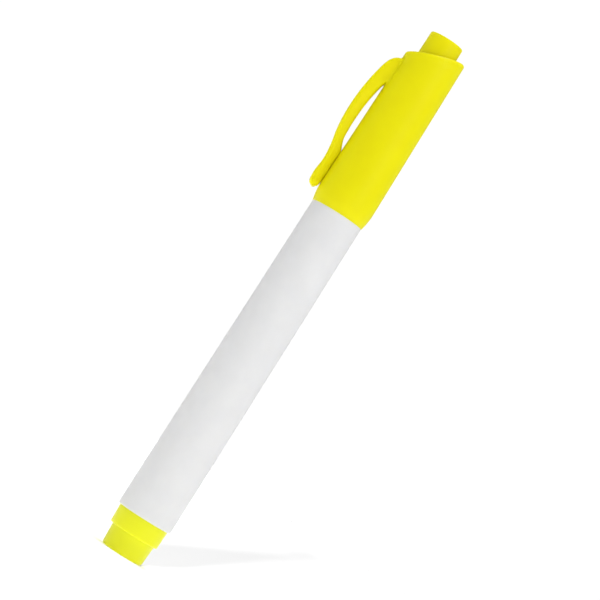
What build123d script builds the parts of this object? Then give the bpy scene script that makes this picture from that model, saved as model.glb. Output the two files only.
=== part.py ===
"""Counterfeit detector pen: a felt-tip ink marker with a round barrel, a pressed-in tail plug and a push-on
cap that has a slanted top, a spring clip and a sealing inner cap whose crown shows through the top.

Frame: millimetres, +Z up the pen's axis from the tail to the cap, the clip on the -X side, the origin at
the centre of the tail plug's flat end face. Each section makes one piece and writes it as its own node.
"""

import os
from math import cos, radians, sin, tan

from build123d import *

os.makedirs("parts", exist_ok=True)

# ------------------------------------------------------------- driving dimensions, mm and degrees
# Fits between pieces
press_gap = 0.02  # on the radius, between pieces pushed together for good
running_gap = 0.05  # on the radius, between pieces that slide or turn on each other
rib_gap = 0.12  # ribs that only keep a piece central
bead_round = 0.5  # radius of the section of every ring bead

# Tail plug
stub_length = 5.1
stub_step = 0.64  # in from the flange
stub_draft = 0.3  # how much smaller in radius its end is than its root
stub_edge_round = 0.7
flange_length = 4.5
flange_step = 0.56  # in from the barrel's rear rim
flange_draft = 0.18
flange_edge_round = 0.35
plug_spigot_length = 9.0
plug_wall = 1.15
plug_floor = 1.4
plug_bead_height = 5.5  # above the barrel's rear rim
plug_bead_proud = 0.12
plug_lead_in = 0.5
plug_web_thickness = 0.8  # the cross inside the plug that carries the reservoir
plug_web_height = 9.4  # from the floor of the plug to the top of the cross

# Barrel
barrel_length = 80.7  # rear rim to the shoulder that the cap meets
barrel_rear_radius = 6.8
barrel_draft = 0.42  # how much smaller in radius the shoulder is
barrel_wall = 1.15
barrel_edge_round = 0.25
neck_step = 0.98  # in from the shoulder; the neck is the part that the cap covers
neck_length = 7.7
neck_wall = 0.95
neck_bead_height = 3.4  # above the shoulder
neck_bead_proud = 0.06
neck_edge_round = 0.3
barrel_rib_count = 6
barrel_rib_width = 0.8
barrel_rib_start = 3.0  # above the plug's spigot

# Ink reservoir
reservoir_side_gap = 0.14  # to the inside of the tail plug
film_thickness = 0.12
reservoir_end_gap = 0.5  # to the nib holder
vent_tube_radius = 0.75
vent_tube_bore = 0.5

# Nib holder and nib
holder_insert_length = 9.0
holder_insert_wall = 0.9
holder_insert_lead_in = 0.3
holder_flange_step = 0.3  # in from the neck
holder_flange_thickness = 1.2
holder_cone_length = 4.6
holder_nose_wall = 1.18
holder_nose_length = 12.0
holder_nose_round = 0.7
holder_nib_land = 14.0  # length of the bore that grips the nib, from the nose's end
seal_bead_height = 7.0  # above the foot of the nose
seal_bead_proud = 0.09
vent_channel_count = 4
vent_channel_radius = 0.35
nib_radius = 2.0
nib_reach = 6.2  # beyond the holder's nose
nib_in_reservoir = 6.0
nib_edge_thickness = 0.9
nib_wedge_length = 4.0
nib_slant = 28.0

# Cap shell
cap_mouth_proud = 0.07  # out from the barrel's shoulder
cap_swell = 0.55  # from the mouth to the cap's widest place
cap_widest_height = 4.4  # above the mouth
cap_draft = 0.5  # from the widest place in to the top
cap_height = 41.9  # from the mouth to the slanted top, on the axis
cap_slant = 19.0
cap_wall = 1.2
cap_top_wall = 1.3
cap_top_edge_round = 0.55
cap_lip_length = 1.9
cap_lip_slope = 0.4
cap_rib_count = 3
cap_rib_width = 1.0
cap_rib_below_foot = 1.2
cap_rib_hold = 0.15  # how far the ribs' lower ends reach under the inner cap's foot
cap_rib_first = 60.0
vent_slot_width = 0.6
vent_slot_span = 56.0
vent_slot_wall = 0.15  # left between a slot and the crown's hole

# Inner cap, whose crown stands out of the slanted top
inner_cap_foot_height = 2.7  # above the foot of the holder's nose
inner_cap_wall = 0.86  # where it seals
inner_cap_upper_wall = 1.2
inner_cap_roof = 1.5
inner_cap_seal_beyond_nose = 1.0
inner_cap_lead_in = 0.4
crown_height = 4.8  # above the slanted top, on the axis
crown_draft = 0.07
crown_edge_round = 0.3
crown_dish_radius = 1.6  # shallow dish in its top, where the mould's gate broke off
crown_dish_depth = 0.25
foot_proud = 0.55
foot_thickness = 1.0
foot_play = 0.1  # up and down, in the notch of the cap's ribs

# Clip. Each place on its outline is how far it stands out from the cap's widest radius, and its share
# of the way up from the tip to the top of the root
clip_width = 4.6
clip_tip_width = 3.9
clip_tip_height = 2.45  # above the mouth
clip_root_drop = 4.4  # below the slanted top, on the axis
clip_root_top = (-0.8, 1.0)
clip_corner = (1.3, 0.969)
clip_shoulder = (2.42, 0.889)
clip_upper_arm = (3.2, 0.786)
clip_bow = (3.88, 0.575)
clip_lower_arm = (3.25, 0.387)
clip_waist = (2.38, 0.221)
clip_heel = (2.68, 0.073)
clip_tip_front = (2.3, 0.016)
clip_tip = (1.5, 0.0)
clip_tip_back = (0.5, 0.01)
clip_pad_foot = 0.036
clip_pad_top = 0.31
clip_pad_step = (0.8, 0.364)
clip_gap_widest = (1.1, 0.495)
clip_gap_upper = (0.85, 0.638)
clip_gap_neck = (0.4, 0.72)
clip_gap_top = (-0.2, 0.775)
clip_pad_gap = 0.08  # to the cap's wall
clip_root_in_wall = 0.75
clip_edge_round = 0.7
hinge_place = (1.42, 0.8231)
hinge_radius = 1.54
hinge_lip = 0.35  # how far the socket's outer lip ends above the hinge
hinge_under_slope = 14.4

# ------------------------------------------------------------- heights up the axis
barrel_rear = stub_length + flange_length
shoulder = barrel_rear + barrel_length  # the cap's mouth rests here
neck_top = shoulder + neck_length
plug_top = barrel_rear + plug_spigot_length
reservoir_base = plug_floor + plug_web_height
holder_foot = neck_top - holder_insert_length
reservoir_top = holder_foot - reservoir_end_gap
nose_foot = neck_top + holder_flange_thickness + holder_cone_length
nose_end = nose_foot + holder_nose_length
nib_foot = reservoir_top - nib_in_reservoir
nib_tip = nose_end + nib_reach
cap_top = shoulder + cap_height
pen_top = cap_top + crown_height
inner_cap_foot = nose_foot + inner_cap_foot_height
clip_length = cap_height - clip_root_drop - clip_tip_height

# ------------------------------------------------------------- radii that fit pieces together
flange_high_radius = barrel_rear_radius - flange_step
flange_low_radius = flange_high_radius - flange_draft
stub_root_radius = flange_low_radius - stub_step
stub_end_radius = stub_root_radius - stub_draft
barrel_shoulder_radius = barrel_rear_radius - barrel_draft
neck_radius = barrel_shoulder_radius - neck_step
barrel_bore_rear = barrel_rear_radius - barrel_wall
barrel_bore_front = barrel_shoulder_radius - barrel_wall
neck_bore = neck_radius - neck_wall
plug_spigot_radius = barrel_bore_rear - press_gap
plug_bore = plug_spigot_radius - plug_wall
film_radius = plug_bore - reservoir_side_gap
fibre_radius = film_radius - film_thickness - press_gap
holder_insert_radius = neck_bore - press_gap
holder_flange_radius = neck_radius - holder_flange_step
nib_bore = nib_radius + press_gap
holder_nose_radius = nib_bore + holder_nose_wall
seal_bore = holder_nose_radius + seal_bead_proud + running_gap
crown_radius = seal_bore + inner_cap_wall
crown_top_radius = crown_radius - crown_draft
inner_cap_bore = crown_radius - inner_cap_upper_wall
foot_radius = crown_radius + foot_proud
cap_lip_bore = neck_radius + neck_bead_proud + running_gap
cap_mouth_radius = barrel_shoulder_radius + cap_mouth_proud
cap_widest_radius = cap_mouth_radius + cap_swell
cap_top_radius = cap_widest_radius - cap_draft
crown_hole = crown_radius + running_gap
hinge_socket_radius = hinge_radius + running_gap
beyond = 20.0  # how far cutting shapes run past what they cut


def lengthwise_plane(turn):
    """A plane through the pen's axis, turned about it: its x runs outward and its y up the pen."""
    angle = radians(turn)
    return Plane(origin=(0, 0, 0), x_dir=(cos(angle), sin(angle), 0), z_dir=(sin(angle), -cos(angle), 0))


def turns(count, first=0.0):
    """Lengthwise planes spread evenly round the axis."""
    return [lengthwise_plane(first + 360 / count * step) for step in range(count)]


def clip_height(share):
    """How far above the cap's mouth a share of the clip's length is."""
    return clip_tip_height + share * clip_length


def clip_point(place):
    """A place on the clip's outline, on the plane that faces the pen's side."""
    return (-cap_widest_radius - place[0], shoulder + clip_height(place[1]))


def cap_outside(height):
    """The cap's outer radius, on its straight drafted side."""
    share = (height - cap_widest_height) / (cap_height - cap_widest_height)
    return cap_widest_radius + share * (cap_top_radius - cap_widest_radius)


def cap_inside(height):
    """The cap's inner radius, above its lip."""
    return cap_outside(height) - cap_wall


def pad_point(share):
    """A place on the clip's foot, just clear of the cap's wall."""
    height = clip_height(share)
    return (-cap_outside(height) - clip_pad_gap, shoulder + height)


# ------------------------------------------------------------- tail plug
# A hollow moulding: the stub and flange stay outside, the spigot is pressed into the barrel for good
with BuildPart() as tail_plug:
    with BuildSketch(Plane.XZ):
        with BuildLine():
            Polyline(
                (0, 0),
                (stub_end_radius, 0),
                (stub_root_radius, stub_length),
                (flange_low_radius, stub_length),
                (flange_high_radius, barrel_rear),
                (plug_spigot_radius, barrel_rear),
                (plug_spigot_radius, plug_top - plug_lead_in),
                (plug_spigot_radius - plug_lead_in / 2, plug_top),
                (plug_bore, plug_top),
                (plug_bore, plug_floor),
                (0, plug_floor),
                close=True,
            )
        make_face()
    revolve(axis=Axis.Z)
    stub_edge = tail_plug.edges().filter_by(GeomType.CIRCLE).group_by(Axis.Z)[0]
    fillet(stub_edge, stub_edge_round)
    flange_edges = tail_plug.edges().filter_by(GeomType.CIRCLE).filter_by_position(
        Axis.Z, stub_length, stub_length
    )
    fillet(flange_edges.sort_by(SortBy.RADIUS)[-1], flange_edge_round)
    with BuildSketch(Plane.XZ):  # ring bead that snaps into the barrel
        with Locations((plug_spigot_radius + plug_bead_proud - bead_round, barrel_rear + plug_bead_height)):
            Circle(bead_round)
    revolve(axis=Axis.Z)
    with BuildSketch(Plane.XY.offset(plug_floor)):  # cross that the reservoir stands on
        Rectangle(2 * plug_bore + plug_wall, plug_web_thickness)
        Rectangle(plug_web_thickness, 2 * plug_bore + plug_wall)
    extrude(amount=plug_web_height)
tail_plug.part.label = "tail_plug"
export_step(tail_plug.part, "parts/tail_plug.step")

# ------------------------------------------------------------- barrel
# One drafted tube with a shoulder and a thinner neck; the cap's mouth rests on the shoulder
with BuildPart() as barrel:
    with BuildSketch(Plane.XZ):
        with BuildLine():
            Polyline(
                (barrel_bore_rear, barrel_rear),
                (barrel_rear_radius, barrel_rear),
                (barrel_shoulder_radius, shoulder),
                (neck_radius, shoulder),
                (neck_radius, neck_top),
                (neck_bore, neck_top),
                (neck_bore, shoulder),
                (barrel_bore_front, shoulder - barrel_wall),
                (barrel_bore_rear, plug_top),
                close=True,
            )
        make_face()
    revolve(axis=Axis.Z)
    rim_edges = barrel.edges().filter_by(GeomType.CIRCLE)
    fillet(rim_edges.group_by(Axis.Z)[0].sort_by(SortBy.RADIUS)[-1], barrel_edge_round)
    fillet(rim_edges.group_by(Axis.Z)[-1].sort_by(SortBy.RADIUS)[-1], neck_edge_round)
    with BuildSketch(Plane.XZ):  # ring bead under the cap's lip
        with Locations((neck_radius + neck_bead_proud - bead_round, shoulder + neck_bead_height)):
            Circle(bead_round)
    revolve(axis=Axis.Z)
    with BuildSketch(Plane.XZ):  # groove for the tail plug's bead
        with Locations((plug_spigot_radius + plug_bead_proud - bead_round, barrel_rear + plug_bead_height)):
            Circle(bead_round + press_gap)
    revolve(axis=Axis.Z, mode=Mode.SUBTRACT)
    with BuildSketch(*turns(barrel_rib_count)):  # ribs that keep the reservoir central
        with BuildLine():
            Polyline(
                (film_radius + rib_gap, plug_top + barrel_rib_start),
                (barrel_bore_rear + barrel_wall / 2, plug_top + barrel_rib_start),
                (barrel_bore_front + barrel_wall / 2, reservoir_top - barrel_wall),
                (film_radius + rib_gap, reservoir_top - barrel_wall),
                close=True,
            )
        make_face()
    extrude(amount=barrel_rib_width / 2, both=True)
barrel.part.label = "barrel"
export_step(barrel.part, "parts/barrel.step")

# ------------------------------------------------------------- reservoir
# A fibre core wrapped in film, with a thin vent tube lying in a groove down its side
vent_tube_place = (fibre_radius - vent_tube_radius, 0)

with BuildPart() as reservoir:
    with BuildSketch(Plane.XY.offset(reservoir_base)):
        Circle(fibre_radius)
        with Locations(vent_tube_place):
            Circle(vent_tube_radius + press_gap, mode=Mode.SUBTRACT)
        with Locations((fibre_radius, 0)):
            Rectangle(2 * vent_tube_radius, 2 * (vent_tube_radius + press_gap), mode=Mode.SUBTRACT)
    extrude(amount=reservoir_top - reservoir_base)
    with BuildSketch(Plane.XY.offset(nib_foot)):
        Circle(nib_bore)
    extrude(amount=nib_in_reservoir, mode=Mode.SUBTRACT)
reservoir.part.label = "reservoir"
export_step(reservoir.part, "parts/reservoir.step")

with BuildPart() as reservoir_film:
    with BuildSketch(Plane.XY.offset(reservoir_base)):
        Circle(film_radius)
        Circle(film_radius - film_thickness, mode=Mode.SUBTRACT)
    extrude(amount=reservoir_top - reservoir_base)
reservoir_film.part.label = "reservoir_film"
export_step(reservoir_film.part, "parts/reservoir_film.step")

with BuildPart() as vent_tube:
    with BuildSketch(Plane.XY.offset(reservoir_base)):
        with Locations(vent_tube_place):
            Circle(vent_tube_radius)
            Circle(vent_tube_bore, mode=Mode.SUBTRACT)
    extrude(amount=reservoir_top - reservoir_base)
vent_tube.part.label = "vent_tube"
export_step(vent_tube.part, "parts/vent_tube.step")

# ------------------------------------------------------------- nib holder
# Pressed into the neck; its nose grips the nib and carries the bead that the inner cap seals on
with BuildPart() as nib_holder:
    with BuildSketch(Plane.XZ):
        with BuildLine():
            Polyline(
                (holder_insert_radius - holder_insert_wall, holder_foot),
                (holder_insert_radius - holder_insert_lead_in, holder_foot),
                (holder_insert_radius, holder_foot + holder_insert_lead_in),
                (holder_insert_radius, neck_top),
                (holder_flange_radius, neck_top),
                (holder_flange_radius, neck_top + holder_flange_thickness),
                (holder_nose_radius, nose_foot),
                (holder_nose_radius, nose_end),
                (nib_bore, nose_end),
                (nib_bore, nose_end - holder_nib_land),
                (holder_insert_radius - holder_insert_wall, neck_top),
                close=True,
            )
        make_face()
    revolve(axis=Axis.Z)
    nose_edges = nib_holder.edges().filter_by(GeomType.CIRCLE).group_by(Axis.Z)[-1]
    fillet(nose_edges.sort_by(SortBy.RADIUS)[-1], holder_nose_round)
    with BuildSketch(Plane.XZ):  # ring bead that seals in the inner cap
        with Locations((holder_nose_radius + seal_bead_proud - bead_round, nose_foot + seal_bead_height)):
            Circle(bead_round)
    revolve(axis=Axis.Z)
    with BuildSketch(Plane.XY.offset(neck_top)):  # air channels beside the nib
        with PolarLocations(nib_bore, vent_channel_count):
            Circle(vent_channel_radius)
    extrude(amount=beyond, mode=Mode.SUBTRACT)
nib_holder.part.label = "nib_holder"
export_step(nib_holder.part, "parts/nib_holder.step")

# ------------------------------------------------------------- nib
# A hard felt rod, ground to a slanted chisel at the writing end
with BuildPart() as nib:
    with BuildSketch(Plane.XY.offset(nib_foot)):
        Circle(nib_radius)
    extrude(amount=nib_tip - nib_foot)
    wedge_foot = nib_tip - nib_wedge_length
    with BuildSketch(Plane.YZ):  # two flats that meet in a blunt edge
        with BuildLine():
            Polyline(
                (-nib_radius, nib_foot),
                (nib_radius, nib_foot),
                (nib_radius, wedge_foot),
                (nib_edge_thickness / 2, nib_tip),
                (-nib_edge_thickness / 2, nib_tip),
                (-nib_radius, wedge_foot),
                close=True,
            )
        make_face()
    extrude(amount=nib_radius, both=True, mode=Mode.INTERSECT)
    slant_drop = 2 * nib_radius * tan(radians(nib_slant))
    with BuildSketch(Plane.XZ):  # the slant of the writing edge
        with BuildLine():
            Polyline(
                (-nib_radius, nib_tip - slant_drop),
                (nib_radius, nib_tip),
                (-nib_radius, nib_tip),
                close=True,
            )
        make_face()
    extrude(amount=nib_radius, both=True, mode=Mode.SUBTRACT)
nib.part.label = "nib"
export_step(nib.part, "parts/nib.step")

# ------------------------------------------------------------- inner cap
# Seals round the holder's nose; its closed top is the round crown that stands out of the cap
with BuildPart() as inner_cap:
    with BuildSketch(Plane.XZ):
        with BuildLine():
            Polyline(
                (seal_bore + inner_cap_lead_in, inner_cap_foot),
                (foot_radius, inner_cap_foot),
                (foot_radius, inner_cap_foot + foot_thickness),
                (crown_radius, inner_cap_foot + foot_thickness),
                (crown_radius, cap_top),
                (crown_top_radius, pen_top),
                (crown_dish_radius, pen_top),
                (crown_dish_radius - crown_dish_depth, pen_top - crown_dish_depth),
                (0, pen_top - crown_dish_depth),
                (0, pen_top - inner_cap_roof),
                (inner_cap_bore, pen_top - inner_cap_roof),
                (inner_cap_bore, nose_end + 2 * inner_cap_seal_beyond_nose),
                (seal_bore, nose_end + inner_cap_seal_beyond_nose),
                (seal_bore, inner_cap_foot + inner_cap_lead_in),
                close=True,
            )
        make_face()
    revolve(axis=Axis.Z)
    crown_rims = inner_cap.edges().filter_by(GeomType.CIRCLE).group_by(Axis.Z)[-1]
    fillet(crown_rims.sort_by(SortBy.RADIUS)[-1], crown_edge_round)
inner_cap.part.label = "inner_cap"
export_step(inner_cap.part, "parts/inner_cap.step")

# ------------------------------------------------------------- clip outline
# The clip and the root it springs from are one arched outline, seen from the pen's side
with BuildSketch(Plane.XZ) as clip_outline:
    with BuildLine():
        pad_foot = pad_point(clip_pad_foot)
        pad_top = pad_point(clip_pad_top)
        Spline(
            clip_point(clip_root_top),
            clip_point(clip_corner),
            clip_point(clip_shoulder),
            clip_point(clip_upper_arm),
            clip_point(clip_bow),
            clip_point(clip_lower_arm),
            clip_point(clip_waist),
            clip_point(clip_heel),
            clip_point(clip_tip_front),
            clip_point(clip_tip),
            clip_point(clip_tip_back),
            pad_foot,
        )
        Line(pad_foot, pad_top)
        Spline(
            pad_top,
            clip_point(clip_pad_step),
            clip_point(clip_gap_widest),
            clip_point(clip_gap_upper),
            clip_point(clip_gap_neck),
            clip_point(clip_gap_top),
        )
        gap_top = clip_point(clip_gap_top)
        root_top = clip_point(clip_root_top)
        root_inside = clip_root_in_wall - cap_outside(clip_height(clip_gap_top[1]))
        Polyline(gap_top, (root_inside, gap_top[1]), (root_inside, root_top[1]), root_top)
    make_face()

hinge_point = clip_point(hinge_place)


# The same clip seen from the front, as a tall wedge: wide at the root and narrower at the tip
with BuildPart() as clip_width_form:
    with BuildSketch(Plane.YZ):
        with BuildLine():
            Polyline(
                (-clip_tip_width / 2, shoulder),
                (clip_tip_width / 2, shoulder),
                (clip_width / 2, hinge_point[1]),
                (clip_width / 2, pen_top),
                (-clip_width / 2, pen_top),
                (-clip_width / 2, hinge_point[1]),
                close=True,
            )
        make_face()
    extrude(amount=-beyond)

# ------------------------------------------------------------- clip
# The springy arm, from the round knuckle at its root to the foot that presses on the cap
clip_side = Plane.XZ.offset(-clip_width / 2)

with BuildPart() as cap_clip:
    with BuildSketch(clip_side):
        add(clip_outline.sketch)
        with BuildLine():
            Polyline(
                (hinge_point[0] - beyond, hinge_point[1]),
                (hinge_point[0] - beyond, pen_top),
                (0, pen_top),
                (0, pad_top[1]),
                (hinge_point[0] + hinge_radius, pad_top[1]),
                (hinge_point[0] + hinge_radius, hinge_point[1]),
                close=True,
            )
        make_face(mode=Mode.SUBTRACT)
        with Locations(hinge_point):
            Circle(hinge_radius)
    extrude(amount=clip_width)
    add(clip_width_form.part, mode=Mode.INTERSECT)
cap_clip.part.label = "cap_clip"
export_step(cap_clip.part, "parts/cap_clip.step")

# The root that the arm springs from, moulded on the cap, with the socket for the arm's knuckle
with BuildPart() as clip_root:
    with BuildSketch(clip_side):
        add(clip_outline.sketch)
        with BuildLine():
            lip = (hinge_point[0] - hinge_radius, hinge_point[1] + hinge_lip)
            rise = tan(radians(hinge_under_slope))
            Polyline(
                (lip[0] - beyond, lip[1] - beyond * rise),
                (lip[0] + beyond, lip[1] + beyond * rise),
                (lip[0] + beyond, shoulder),
                (lip[0] - beyond, shoulder),
                close=True,
            )
        make_face(mode=Mode.SUBTRACT)
        with Locations(hinge_point):
            Circle(hinge_socket_radius, mode=Mode.SUBTRACT)
    extrude(amount=clip_width)
    add(clip_width_form.part, mode=Mode.INTERSECT)
    outer_face = clip_root.faces().sort_by(Axis.X)[0]
    fillet(outer_face.edges().sort_by(SortBy.LENGTH)[-2:], clip_edge_round)

# ------------------------------------------------------------- cap shell
# A drafted cup with a slanted top; the crown of the inner cap passes through a hole in that top
slanted_top = Plane(origin=(0, 0, cap_top), z_dir=(-sin(radians(cap_slant)), 0, cos(radians(cap_slant))))
inside_top = cap_height + cap_top_radius

with BuildPart() as cap_hollow:
    with BuildSketch(Plane.XZ):
        with BuildLine():
            Polyline(
                (0, shoulder),
                (cap_lip_bore, shoulder),
                (cap_lip_bore, shoulder + cap_lip_length),
                (cap_inside(cap_widest_height) - running_gap, shoulder + cap_lip_length + cap_lip_slope),
                (cap_inside(cap_widest_height), shoulder + cap_widest_height),
                (cap_inside(inside_top), shoulder + inside_top),
                (0, shoulder + inside_top),
                close=True,
            )
        make_face()
    revolve(axis=Axis.Z)
    split(bisect_by=slanted_top.offset(-cap_top_wall), keep=Keep.BOTTOM)
    with BuildSketch(*turns(cap_rib_count, cap_rib_first)):  # ribs with a notch for the inner cap's foot
        rib_edge = crown_radius + rib_gap
        notch_edge = foot_radius + running_gap
        hold_edge = foot_radius - cap_rib_hold
        notch_base = inner_cap_foot - foot_play
        notch_top = inner_cap_foot + foot_thickness + foot_play
        with BuildLine():
            Polyline(
                (rib_edge, shoulder + inside_top),
                (rib_edge, notch_top),
                (notch_edge, notch_top),
                (notch_edge, notch_base),
                (hold_edge, notch_base),
                (cap_widest_radius, notch_base - 2 * cap_rib_below_foot),
                (cap_widest_radius, shoulder + inside_top),
                close=True,
            )
        make_face()
    extrude(amount=cap_rib_width / 2, both=True, mode=Mode.SUBTRACT)

with BuildPart() as cap_shell:
    with BuildSketch(Plane.XZ):
        with BuildLine():
            widest = (cap_widest_radius, shoulder + cap_widest_height)
            side_top = (cap_outside(inside_top), shoulder + inside_top)
            side = Line(side_top, widest)
            mouth_curve = TangentArc(widest, (cap_mouth_radius, shoulder), tangent=side % 1)
            Polyline(mouth_curve @ 1, (0, shoulder), (0, shoulder + inside_top), side_top)
        make_face()
    revolve(axis=Axis.Z)
    split(bisect_by=slanted_top, keep=Keep.BOTTOM)
    fillet(cap_shell.faces().sort_by(Axis.Z)[-1].edges(), cap_top_edge_round)
    add(clip_root.part)
    add(cap_hollow.part, mode=Mode.SUBTRACT)
    with BuildSketch(Plane.XY.offset(cap_top - cap_widest_radius)):
        Circle(crown_hole)
    extrude(amount=beyond, mode=Mode.SUBTRACT)
    with BuildSketch(Plane.XY.offset(cap_top - cap_widest_radius)):  # air vents round the crown
        with BuildLine() as slot_line:
            slot_radius = crown_hole + vent_slot_wall + vent_slot_width / 2
            CenterArc((0, 0), slot_radius, cap_rib_first + 60 - vent_slot_span / 2, vent_slot_span)
        with PolarLocations(0, cap_rib_count):
            SlotArc(slot_line.edge(), vent_slot_width)
    extrude(amount=beyond, mode=Mode.SUBTRACT)
cap_shell.part.label = "cap_shell"
export_step(cap_shell.part, "parts/cap_shell.step")
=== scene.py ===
"""Counterfeit detector pen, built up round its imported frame: barrel, tail plug, ink parts, cap and clip.

The pen's own frame is kept: +Z up the axis from the tail, and the clip on the -X side. The pen's sizes are
written in millimetres and multiplied by MM; the lights and the camera are placed in metres.
"""

from math import cos, hypot, pi, radians, sin, sqrt

import bmesh
import bpy
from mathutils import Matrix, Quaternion, Vector


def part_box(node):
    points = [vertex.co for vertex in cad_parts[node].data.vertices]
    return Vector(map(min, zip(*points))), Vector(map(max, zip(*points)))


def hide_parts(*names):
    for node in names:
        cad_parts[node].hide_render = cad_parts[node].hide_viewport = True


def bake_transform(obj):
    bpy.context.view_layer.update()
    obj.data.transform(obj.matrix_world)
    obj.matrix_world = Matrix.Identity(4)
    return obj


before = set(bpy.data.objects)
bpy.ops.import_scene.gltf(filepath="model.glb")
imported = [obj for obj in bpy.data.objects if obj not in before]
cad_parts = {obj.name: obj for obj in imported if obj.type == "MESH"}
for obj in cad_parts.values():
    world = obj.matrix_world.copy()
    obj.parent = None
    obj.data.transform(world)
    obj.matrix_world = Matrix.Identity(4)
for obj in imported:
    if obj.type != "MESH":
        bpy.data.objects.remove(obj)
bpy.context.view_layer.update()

# ---------------------------------------------------------------- barrel
# A white polypropylene tube, injection moulded with a little draft, so it is thickest at the rear rim.
# The tail plug is pressed into its rear and the nib holder into its neck; the cap's mouth meets its
# shoulder. Handling leaves faint scuffs, and the rims are rubbed a little cleaner than the wall.
MM = 0.001
barrel_low, barrel_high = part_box("barrel")
neck_length = 7.7
barrel_white = (0.81, 0.81, 0.81)
barrel_grey = (0.79, 0.79, 0.794)
barrel_rub = (0.83, 0.83, 0.83)
grain_height = 0.012 * MM
ripple_height = 0.02 * MM
scuff_depth = 0.004 * MM
seam_height = 0.03 * MM
rub_strength = 0.4
polypropylene_index = 1.49
glow_reach = 2.0 * MM  # how far light travels inside the plastic


def link(tree, out, into):
    """Joins one node's output to another node's input."""
    tree.links.new(out, into)


def place_in_mm(tree):
    """Position on the pen, in millimetres from the middle of its tail."""
    where = tree.nodes.new("ShaderNodeTexCoord")
    scale = tree.nodes.new("ShaderNodeVectorMath")
    scale.operation = "SCALE"
    scale.inputs["Scale"].default_value = 1 / MM
    link(tree, where.outputs["Object"], scale.inputs[0])
    return scale.outputs["Vector"]


def math_node(tree, operation, a, b=None, c=None, clamp=False):
    """One sum; each of a, b and c is a number or another node's output."""
    node = tree.nodes.new("ShaderNodeMath")
    node.operation = operation
    node.use_clamp = clamp
    for socket, value in zip(node.inputs, (a, b, c)):
        if isinstance(value, (int, float)):
            socket.default_value = value
        elif value is not None:
            link(tree, value, socket)
    return node.outputs[0]


def noise(tree, place, scale, detail=3.0, rough=0.55, stretch=None):
    """Cloudy noise; scale is in lumps per millimetre, and stretch draws them out along the pen."""
    if stretch:
        drawn = tree.nodes.new("ShaderNodeVectorMath")
        drawn.operation = "MULTIPLY"
        drawn.inputs[1].default_value = stretch
        link(tree, place, drawn.inputs[0])
        place = drawn.outputs["Vector"]
    node = tree.nodes.new("ShaderNodeTexNoise")
    node.inputs["Scale"].default_value = scale
    node.inputs["Detail"].default_value = detail
    node.inputs["Roughness"].default_value = rough
    link(tree, place, node.inputs["Vector"])
    return node.outputs["Fac"]


def spread(tree, value, low, high, to_low=0.0, to_high=1.0):
    """Stretches a value from one range to another, and holds it there."""
    node = tree.nodes.new("ShaderNodeMapRange")
    node.interpolation_type = "SMOOTHSTEP"
    for name, number in zip(("From Min", "From Max", "To Min", "To Max"), (low, high, to_low, to_high)):
        node.inputs[name].default_value = number
    link(tree, value, node.inputs["Value"])
    return node.outputs["Result"]


def tint(tree, share, first, second):
    """From the first colour to the second; either can be a colour already mixed."""
    node = tree.nodes.new("ShaderNodeMix")
    node.data_type = "RGBA"
    link(tree, share, node.inputs["Factor"])
    for socket, colour in ((node.inputs[6], first), (node.inputs[7], second)):
        if isinstance(colour, tuple):
            socket.default_value = (*colour, 1)
        else:
            link(tree, colour, socket)
    return node.outputs[2]


def split_place(tree, place):
    """The x, y and z of a place, each by itself."""
    node = tree.nodes.new("ShaderNodeSeparateXYZ")
    link(tree, place, node.inputs[0])
    return node.outputs


def near_height(tree, z, height, reach):
    """1 at a height up the pen, falling to 0 within reach above and below it."""
    away = math_node(tree, "ABSOLUTE", math_node(tree, "SUBTRACT", z, height))
    return spread(tree, away, 0.0, reach, 1.0, 0.0)


def raised(tree, height, lift, under=None):
    """Relief in the surface: lift is the height in metres of a full-strength mark."""
    node = tree.nodes.new("ShaderNodeBump")
    node.inputs["Strength"].default_value = 1.0
    node.inputs["Distance"].default_value = lift
    link(tree, height, node.inputs["Height"])
    if under is not None:
        link(tree, under, node.inputs["Normal"])
    return node.outputs["Normal"]


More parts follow.
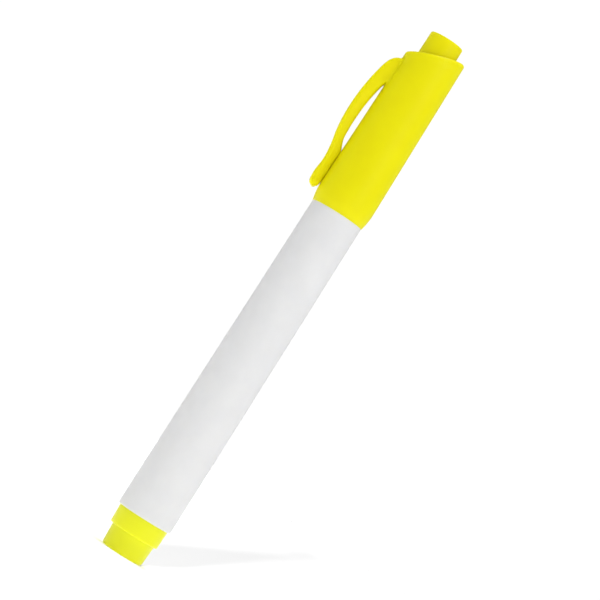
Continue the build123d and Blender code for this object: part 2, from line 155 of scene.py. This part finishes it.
def moulded_plastic(name, colour, shade, rubbed, rims, gloss=0.40, specular=0.3, glow=0.12, seam=False):
    """Moulded polypropylene: cloudy pigment, fine grain, flow ripple, lengthwise scuffs and rubbed rims."""
    material = bpy.data.materials.new(name)
    material.use_nodes = True
    tree = material.node_tree
    surface = tree.nodes["Principled BSDF"]
    place = place_in_mm(tree)
    y, z = split_place(tree, place)[1:3]

    pigment = spread(tree, noise(tree, place, 0.16, 4.0), 0.35, 0.65)
    skin = tint(tree, pigment, shade, colour)
    rub = None
    for height, reach in rims:
        here = near_height(tree, z, height, reach)
        rub = here if rub is None else math_node(tree, "MAXIMUM", rub, here)
    patchy = spread(tree, noise(tree, place, 1.1, 3.0), 0.42, 0.62)
    worn = math_node(tree, "MULTIPLY", rub, patchy)
    skin = tint(tree, math_node(tree, "MULTIPLY", worn, rub_strength), skin, rubbed)
    link(tree, skin, surface.inputs["Base Color"])

    grain = noise(tree, place, 7.0, 4.0, 0.6)
    ripple = noise(tree, place, 0.35, 2.0, 0.5, (1, 1, 0.35))
    scuff = spread(tree, noise(tree, place, 2.6, 5.0, 0.7, (1.4, 1.4, 0.10)), 0.60, 0.74)
    dull = spread(tree, noise(tree, place, 0.5, 3.0), 0.3, 0.7, gloss - 0.05, gloss + 0.06)
    dull = math_node(tree, "MULTIPLY_ADD", scuff, 0.12, dull)
    dull = math_node(tree, "MULTIPLY_ADD", worn, -0.08, dull, clamp=True)
    link(tree, dull, surface.inputs["Roughness"])

    relief = raised(tree, grain, grain_height)
    relief = raised(tree, ripple, ripple_height, relief)
    relief = raised(tree, math_node(tree, "SUBTRACT", 1.0, scuff), scuff_depth, relief)
    if seam:  # where the two halves of the mould met, along the clip and down the opposite side
        off_seam = math_node(tree, "ABSOLUTE", y)
        line = spread(tree, off_seam, 0.03, 0.10, 1.0, 0.0)
        relief = raised(tree, line, seam_height, relief)
    link(tree, relief, surface.inputs["Normal"])

    surface.inputs["Specular IOR Level"].default_value = specular
    surface.inputs["IOR"].default_value = polypropylene_index
    surface.inputs["Subsurface Weight"].default_value = glow
    surface.inputs["Subsurface Radius"].default_value = (1.0, 0.9, 0.7)
    surface.inputs["Subsurface Scale"].default_value = glow_reach
    return material


def dress(node, material):
    """Puts a finish on a piece of the frame, in every one of its material slots."""
    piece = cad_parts[node]
    if not piece.material_slots:
        piece.data.materials.append(material)
    for slot in piece.material_slots:
        slot.material = material


# each rim is a height up the pen and how far the rubbing reaches from it
rear_rim = barrel_low.z / MM
neck_end = barrel_high.z / MM
barrel_rims = [(rear_rim, 1.6), (neck_end - neck_length, 1.2), (neck_end, 0.8)]
white_polypropylene = moulded_plastic(
    "white_polypropylene", barrel_white, barrel_grey, barrel_rub, barrel_rims, gloss=0.46, specular=0.25
)
dress("barrel", white_polypropylene)

# ---------------------------------------------------------------- tail plug
# The stepped yellow plug that closes the barrel, moulded apart from the cap and from another batch of
# pigment, so it is paler and greener. It is a press fit, with its spigot and bead inside the barrel.
plug_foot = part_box("tail_plug")[0].z / MM
plug_colour = (0.880, 0.890, 0.010)
plug_shade = (0.868, 0.878, 0.008)
plug_rubbed = (0.86, 0.88, 0.04)
yellow_gloss = 0.42
yellow_glow = 0.45
tail_yellow = moulded_plastic(
    "tail_yellow_polypropylene", plug_colour, plug_shade, plug_rubbed, [(plug_foot, 1.5), (rear_rim, 0.5)],
    gloss=yellow_gloss, glow=yellow_glow,
)
dress("tail_plug", tail_yellow)

# ---------------------------------------------------------------- reservoir, film and vent tube
# A bundle of crimped polyester fibre soaked with the amber testing ink, wrapped in clear film, with a
# thin air tube down its side. It drops into the barrel before the plug and is never seen in use.
ink_amber = (0.46, 0.21, 0.045)
dry_fibre = (0.72, 0.62, 0.44)


def ink_fibre(name, wet, dry, across, stain=None):
    """Bundled fibres that run along the pen, darker where they hold ink.

    across is how many fibres lie side by side in a millimetre; stain is where soaking starts and is full.
    """
    material = bpy.data.materials.new(name)
    material.use_nodes = True
    tree = material.node_tree
    surface = tree.nodes["Principled BSDF"]
    place = place_in_mm(tree)
    z = split_place(tree, place)[2]
    strands = noise(tree, place, across, 3.0, 0.6, (1, 1, 0.06))
    clumps = noise(tree, place, 0.6, 3.0)
    soaked = spread(tree, clumps, 0.38, 0.62)
    if stain:
        patches = math_node(tree, "MULTIPLY", soaked, 0.5)
        soaked = math_node(tree, "MAXIMUM", spread(tree, z, stain[0], stain[1]), patches)
    base = tint(tree, soaked, dry, wet)
    dark = tuple(part * 0.62 for part in wet)
    base = tint(tree, spread(tree, strands, 0.35, 0.6, 0.55, 0.0), base, dark)
    link(tree, base, surface.inputs["Base Color"])
    link(tree, spread(tree, strands, 0.3, 0.7, 0.95, 0.7), surface.inputs["Roughness"])
    link(tree, raised(tree, strands, 0.05 * MM), surface.inputs["Normal"])
    surface.inputs["Specular IOR Level"].default_value = 0.25
    surface.inputs["Sheen Weight"].default_value = 0.15
    return material


dress("reservoir", ink_fibre("ink_soaked_fibre", ink_amber, dry_fibre, 6.0))

film_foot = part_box("reservoir_film")[0].z / MM
clear_film = moulded_plastic(
    "clear_wrap_film", (0.80, 0.79, 0.74), (0.74, 0.72, 0.64), (0.85, 0.85, 0.82), [(film_foot, 0.8)],
    gloss=0.2,
)
dress("reservoir_film", clear_film)

tube_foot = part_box("vent_tube")[0].z / MM
vent_plastic = moulded_plastic(
    "vent_tube_plastic", (0.78, 0.79, 0.80), (0.72, 0.73, 0.75), (0.85, 0.85, 0.85), [(tube_foot, 0.5)],
    gloss=0.3,
)
dress("vent_tube", vent_plastic)

# ---------------------------------------------------------------- nib holder
# A natural white moulding pressed into the barrel's neck. Its nose grips the nib, and the bead round the
# nose seals in the inner cap. Ink creeps a little way back over the end of the nose.
nose_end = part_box("nib_holder")[1].z / MM
holder_colour = (0.76, 0.76, 0.73)
holder_shade = (0.71, 0.71, 0.67)
holder_inked = (0.62, 0.50, 0.30)
holder_white = moulded_plastic(
    "nib_holder_plastic", holder_colour, holder_shade, holder_inked, [(nose_end, 2.2)], gloss=0.5
)
dress("nib_holder", holder_white)

# ---------------------------------------------------------------- nib
# A rod of bonded felt, ground to a slanted chisel. The writing end is stained by the amber ink, darkest
# at the edge, where it dries.
nib_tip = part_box("nib")[1].z / MM
stained_length = 9
wet_felt = (0.33, 0.15, 0.035)
dry_felt = (0.66, 0.52, 0.30)
stained_felt = ink_fibre("ink_stained_felt", wet_felt, dry_felt, 9.0, (nib_tip - stained_length, nib_tip))
dress("nib", stained_felt)

# ---------------------------------------------------------------- cap shell
# The yellow push-on cap, moulded in one with the clip: a drafted cup with a slanted top, and a hole in
# that top for the inner cap's crown, with air vents round it. It snaps over the bead on the neck.
cap_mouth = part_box("cap_shell")[0].z / MM
cap_axis_top = 132.2  # height of the slanted top, on the axis
cap_colour = (0.875, 0.800, 0.0010)
cap_shade = (0.865, 0.785, 0.0008)
cap_rubbed = (0.88, 0.83, 0.02)
cap_shine = 0.13
cap_yellow = moulded_plastic(
    "cap_yellow_polypropylene", cap_colour, cap_shade, cap_rubbed, [(cap_mouth, 1.3), (cap_axis_top, 3.0)],
    gloss=yellow_gloss, specular=cap_shine, glow=yellow_glow, seam=True,
)
dress("cap_shell", cap_yellow)

# ---------------------------------------------------------------- inner cap
# The sealing tube inside the cap, of the same yellow. Its closed end is the round crown that stands out
# of the slanted top, with a small dish where the gate broke off.
crown_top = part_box("inner_cap")[1].z / MM
crown_yellow = moulded_plastic(
    "inner_cap_polypropylene", cap_colour, cap_shade, cap_rubbed, [(crown_top, 0.9)],
    gloss=yellow_gloss, specular=cap_shine, glow=yellow_glow,
)
dress("inner_cap", crown_yellow)

# ---------------------------------------------------------------- clip
# The springy arm, moulded with the cap: a thick root that grows out of the wall in a soft fillet, an arm
# that bows out and narrows, and a foot that presses on the cap. Its outer face is crowned.
hinge_height = 121.6

# the outside and the inside of the arch, seen from the side: distance from the axis, height, up the arm
clip_outside = [
    (8.35, 92.74), (9.30, 93.35), (9.68, 95.2), (9.42, 99.6), (9.72, 102.9), (10.02, 104.5),
    (10.38, 106.3), (10.74, 109.2), (10.87, 112.4), (10.76, 116.0), (10.36, 119.6), (9.72, 122.9),
    (9.19, 125.0), (8.54, 126.45), (7.55, 127.45), (6.60, 127.87), (5.72, 128.02),
]
clip_inside = [
    (7.90, 92.86), (7.22, 93.7), (6.99, 95.2), (6.92, 100.2), (6.89, 102.9), (7.34, 104.1),
    (7.78, 105.3), (8.05, 108.0), (8.05, 111.8), (7.82, 115.2), (7.45, 117.9), (7.05, 119.9),
    (6.80, 120.8), (6.58, 121.25), (6.35, 121.45), (6.05, 121.55), (5.72, 121.6),
]
clip_root_width = 4.72
clip_tip_width = 3.95
clip_edge_round = 0.62
clip_edge_softening = 0.33  # added to that round where the face is crowned
clip_back_round = 0.8
clip_crown = 0.12
clip_back_taper = 0.5  # how much narrower the back is than the face, on each side

# heights and lengths up the pen, in millimetres
foot_end = 92.5
foot_rounding = 1.6  # over which the foot widens from its end
foot_end_share = 0.65  # of the width is left at that end
foot_height = 92.8
foot_fade = 2
taper_top = 119.5
crown_fade_top = 121
root_fade = 4  # taper and crown fade out over this length, below the root
fillet_foot = 112  # the fillet into the cap's wall is only above here

cap_widest_radius = 7.0
cap_widest_height = 4.4  # above the mouth
cap_draft = 0.5  # how much smaller in radius the cap is at its top


def smooth_line(points, count):
    """A smooth curve through points, sampled evenly from the first to the last."""
    per_span = 64
    curve = bpy.data.curves.new("clip_line", "CURVE")
    spline = curve.splines.new("BEZIER")
    spline.bezier_points.add(len(points) - 1)
    for knot, (out, up) in zip(spline.bezier_points, points):
        knot.co = (-out, 0, up)
        knot.handle_left_type = knot.handle_right_type = "AUTO"
    spline.resolution_u = per_span
    carrier = bpy.data.objects.new("clip_line", curve)
    mesh = carrier.to_mesh()
    line = [vertex.co.copy() for vertex in mesh.vertices]
    carrier.to_mesh_clear()
    bpy.data.objects.remove(carrier)
    bpy.data.curves.remove(curve)
    spans = len(points) - 1
    picked = []
    for step in range(count + 1):
        at = step / count * spans * per_span
        low = min(int(at), len(line) - 2)
        picked.append(line[low].lerp(line[low + 1], at - low))
    return picked


def cap_wall_at(height):
    """The cap's outer radius at a height, on its straight drafted side."""
    risen = height - cap_mouth - cap_widest_height
    whole = cap_axis_top - cap_mouth - cap_widest_height
    return cap_widest_radius - cap_draft * risen / whole


def clip_ring(half_width, thickness, taper, crowning):
    """One section through the arm, as (across, outward) points: crowned outside, narrower inside."""
    outer_round = min(clip_edge_round + clip_edge_softening * crowning, 0.46 * thickness, 0.6 * half_width)
    inner_round = min(clip_back_round, 0.35 * thickness, 0.45 * half_width)
    crown = min(clip_crown, 0.06 * thickness) * crowning
    flat = half_width - outer_round
    flat_steps = 5
    outer_steps = 7
    inner_steps = 4

    # half of the section: the face, its rounded edge, the side, the back's rounded edge and the back
    right = []
    for step in range(flat_steps):
        across = flat * step / flat_steps
        right.append((across, thickness - crown * (across / half_width) ** 2))
    top = thickness - crown * (flat / half_width) ** 2
    for step in range(outer_steps + 1):
        turn = pi / 2 * (1 - step / outer_steps)
        right.append((flat + outer_round * cos(turn), top - outer_round * (1 - sin(turn))))
    narrow = half_width - taper
    for step in range(1, flat_steps):
        share = step / flat_steps
        down = top - outer_round + (inner_round - top + outer_round) * share
        right.append((half_width + (narrow - half_width) * share, down))
    for step in range(inner_steps + 1):
        turn = -pi / 2 * step / inner_steps
        right.append((narrow - inner_round * (1 - cos(turn)), inner_round * (1 + sin(turn))))
    for step in range(1, flat_steps):
        right.append(((narrow - inner_round) * (1 - step / flat_steps), 0))
    left = [(-across, outward) for across, outward in reversed(right[1:])]
    return right + [(0, 0)] + left


def clip_mesh(name, sections=170, fillet=0.45):
    """Sections swept up the arm; those near the cap's wall spread out into the root's fillet."""
    outside = smooth_line(clip_outside, sections)
    inside = smooth_line(clip_inside, sections)
    made = bmesh.new()
    rings = []
    for out_point, in_point in zip(outside, inside):
        thick = (out_point - in_point).length
        outward = (out_point - in_point).normalized()
        middle = (out_point + in_point) / 2
        share = min(1, max(0, (middle.z - foot_height) / (hinge_height - foot_height)))
        half = (clip_tip_width + (clip_root_width - clip_tip_width) * share) / 2
        from_end = min(1, (middle.z - foot_end) / foot_rounding)
        half *= sqrt(1 - (1 - from_end) ** 2) * (1 - foot_end_share) + foot_end_share
        ring = []
        centre = thick / 2
        below_root = max(0, (taper_top - middle.z) / root_fade)
        above_foot = max(0, (middle.z - foot_height) / foot_fade)
        taper = clip_back_taper * min(1, below_root, above_foot)
        crowning = min(1, max(0, (crown_fade_top - middle.z) / root_fade))
        for across, up in clip_ring(half, thick, taper, crowning):
            point = in_point + outward * up + Vector((0, across, 0))
            gap = hypot(point.x, point.y) - cap_wall_at(point.z)
            gap = min(max(gap, 0), fillet)
            flare = fillet - sqrt(fillet ** 2 - (fillet - gap) ** 2) if point.z > fillet_foot else 0
            side = Vector((0, across / half, 0)) + outward * ((up - centre) / centre)
            point += side.normalized() * flare
            ring.append(made.verts.new(point * MM))
        rings.append(ring)
    count = len(rings[0])
    for low, high in zip(rings, rings[1:]):
        for step in range(count):
            ahead = (step + 1) % count
            made.faces.new((low[step], low[ahead], high[ahead], high[step]))
    made.faces.new(rings[0])
    made.faces.new(list(reversed(rings[-1])))
    bmesh.ops.recalc_face_normals(made, faces=made.faces)
    mesh = bpy.data.meshes.new(name)
    made.to_mesh(mesh)
    made.free()
    for face in mesh.polygons:
        face.use_smooth = True
    piece = bpy.data.objects.new(name, mesh)
    bpy.context.scene.collection.objects.link(piece)
    return piece


clip = clip_mesh("clip_arm")
clip.data.materials.append(cap_yellow)
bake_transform(clip)
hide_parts("cap_clip")

# ---------------------------------------------------------------- floor, light and camera
# A plain white table in a white room, a broad soft light from the front right, an even one from above, and
# a low one that falls on the table alone and draws the shadow. The long lens is tipped over, so that the
# upright pen leans.
backdrop_brightness = 1.03
wall_brightness = 0.50  # lights the pen
mirrored_brightness = 0.25  # shows in its gloss
table_white = bpy.data.materials.new("table_white")
table_white.use_nodes = True
table_surface = table_white.node_tree.nodes["Principled BSDF"]
table_surface.inputs["Base Color"].default_value = (0.93, 0.93, 0.93, 1)
table_surface.inputs["Roughness"].default_value = 0.9
table_surface.inputs["Specular IOR Level"].default_value = 0.0
bpy.ops.mesh.primitive_plane_add(size=3, location=(0, 0, 0))
table = bpy.context.object
table.name = "table_top"
table.data.materials.append(table_white)

room = bpy.data.worlds.new("white_room")
room.use_nodes = True
bpy.context.scene.world = room
room_tree = room.node_tree
seen_white = room_tree.nodes["Background"]
seen_white.inputs["Color"].default_value = (1, 1, 1, 1)
seen_white.inputs["Strength"].default_value = backdrop_brightness
walls = room_tree.nodes.new("ShaderNodeBackground")
walls.inputs["Color"].default_value = (1, 1, 1, 1)
walls.inputs["Strength"].default_value = wall_brightness
dim_walls = room_tree.nodes.new("ShaderNodeBackground")
dim_walls.inputs["Color"].default_value = (1, 1, 1, 1)
dim_walls.inputs["Strength"].default_value = mirrored_brightness
kind_of_ray = room_tree.nodes.new("ShaderNodeLightPath")
lit_or_mirrored = room_tree.nodes.new("ShaderNodeMixShader")
link(room_tree, kind_of_ray.outputs["Is Glossy Ray"], lit_or_mirrored.inputs[0])
link(room_tree, walls.outputs[0], lit_or_mirrored.inputs[1])
link(room_tree, dim_walls.outputs[0], lit_or_mirrored.inputs[2])
either = room_tree.nodes.new("ShaderNodeMixShader")
link(room_tree, kind_of_ray.outputs["Is Camera Ray"], either.inputs[0])
link(room_tree, lit_or_mirrored.outputs[0], either.inputs[1])
link(room_tree, seen_white.outputs[0], either.inputs[2])
link(room_tree, either.outputs[0], room_tree.nodes["World Output"].inputs["Surface"])


def soft_light(name, place, aim, width, height, power):
    """A square soft box, pointed from its place at what it lights."""
    lamp = bpy.data.lights.new(name, "AREA")
    lamp.shape = "RECTANGLE"
    lamp.size, lamp.size_y = width, height
    lamp.energy = power
    box = bpy.data.objects.new(name, lamp)
    bpy.context.scene.collection.objects.link(box)
    box.location = place
    box.rotation_euler = (Vector(aim) - Vector(place)).to_track_quat("-Z", "Y").to_euler()


pen_middle = Vector((0, 0, 0.07))
soft_light("front_right_softbox", (0.92, -0.92, 0.54), pen_middle, 0.6, 0.8, 3.4)


def high_light(name, toward, strength, spread_angle):
    """Even light over the whole table, from straight above or from low down."""
    lamp = bpy.data.lights.new(name, "SUN")
    lamp.energy = strength
    lamp.angle = spread_angle
    sky = bpy.data.objects.new(name, lamp)
    bpy.context.scene.collection.objects.link(sky)
    sky.rotation_euler = Vector(toward).to_track_quat("-Z", "Y").to_euler()
    return sky


high_light("ceiling_light", (0, 0, -1), 1.4, radians(12))
shadow_side = radians(84.8)
shadow_drop = radians(7.0)
flat_share = cos(shadow_drop)
shadow_way = Vector((cos(shadow_side) * flat_share, sin(shadow_side) * flat_share, -sin(shadow_drop)))
low_light = high_light("low_front_light", shadow_way, 9.5, radians(1.5))
table_only = bpy.data.collections.new("table_only")
table_only.objects.link(table)
low_light.light_linking.receiver_collection = table_only

camera_distance = 0.65
eye_height = 0.038
aim_point = Vector((0.0033, 0, 0.0696))
lean = radians(32.42)
view_width = 0.1349
sensor_width = 36
lens_data = bpy.data.cameras.new("camera")
lens_data.sensor_width = sensor_width
lens_data.lens = sensor_width * camera_distance / view_width
lens_data.clip_start = 0.01
camera = bpy.data.objects.new("camera", lens_data)
bpy.context.scene.collection.objects.link(camera)
camera.location = (aim_point.x, -camera_distance, eye_height)
looking = (aim_point - camera.location).to_track_quat("-Z", "Y")
camera.rotation_mode = "QUATERNION"
camera.rotation_quaternion = looking @ Quaternion((0, 0, 1), lean)
bpy.context.scene.camera = camera
bpy.context.scene.view_settings.view_transform = "Standard"
